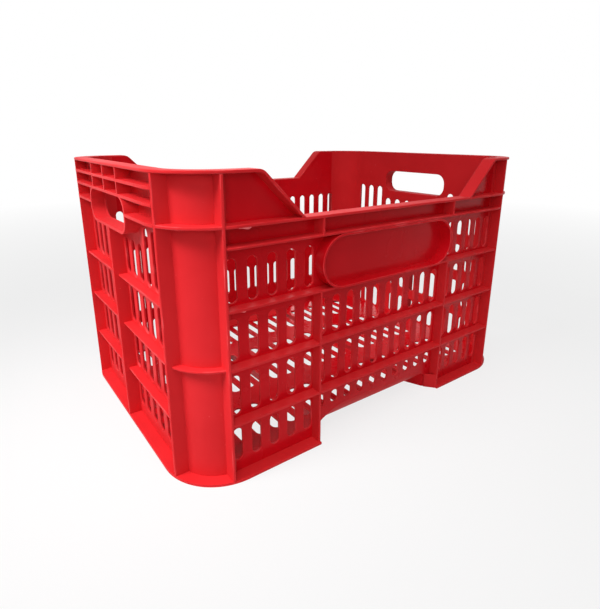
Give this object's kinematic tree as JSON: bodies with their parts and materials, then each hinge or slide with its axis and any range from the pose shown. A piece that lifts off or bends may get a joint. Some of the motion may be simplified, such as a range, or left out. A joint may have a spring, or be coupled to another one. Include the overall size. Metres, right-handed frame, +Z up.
{
  "type": "plastic harvest crate",
  "caption": "Open red plastic harvest crate with slotted ribbed walls, high ends with hand grips, low sides and a raised slotted floor on feet.",
  "frame": {"origin": "middle of the footprint, on the ground", "axes": "+X along the length, +Y across towards the rear long side, +Z up"},
  "size_m": [0.523, 0.373, 0.31],
  "materials": {
    "crate_plastic": "smooth glossy injection-moulded polyethylene"
  },
  "bodies": {
    "root": {"floor_grid": "crate_plastic", "front_floor_bend": "crate_plastic", "front_label_frame": "crate_plastic", "front_left_corner_frame": "crate_plastic", "front_left_corner_wall": "crate_plastic", "front_left_shoulder": "crate_plastic", "front_right_corner_frame": "crate_plastic", "front_right_corner_wall": "crate_plastic", "front_right_shoulder": "crate_plastic", "front_side_rail": "crate_plastic", "front_side_ribs": "crate_plastic", "front_side_wall": "crate_plastic", "left_base_flange": "crate_plastic", "left_end_ribs": "crate_plastic", "left_end_wall": "crate_plastic", "left_foot_web": "crate_plastic", "left_grip_collar": "crate_plastic", "left_grip_panel": "crate_plastic", "left_grip_ribs": "crate_plastic", "left_rim": "crate_plastic", "rear_floor_bend": "crate_plastic", "rear_label_frame": "crate_plastic", "rear_left_corner_frame": "crate_plastic", "rear_left_corner_wall": "crate_plastic", "rear_left_shoulder": "crate_plastic", "rear_right_corner_frame": "crate_plastic", "rear_right_corner_wall": "crate_plastic", "rear_right_shoulder": "crate_plastic", "rear_side_rail": "crate_plastic", "rear_side_ribs": "crate_plastic", "rear_side_wall": "crate_plastic", "right_base_flange": "crate_plastic", "right_end_ribs": "crate_plastic", "right_end_wall": "crate_plastic", "right_foot_web": "crate_plastic", "right_grip_collar": "crate_plastic", "right_grip_panel": "crate_plastic", "right_grip_ribs": "crate_plastic", "right_rim": "crate_plastic"}
  },
  "joints": []
}
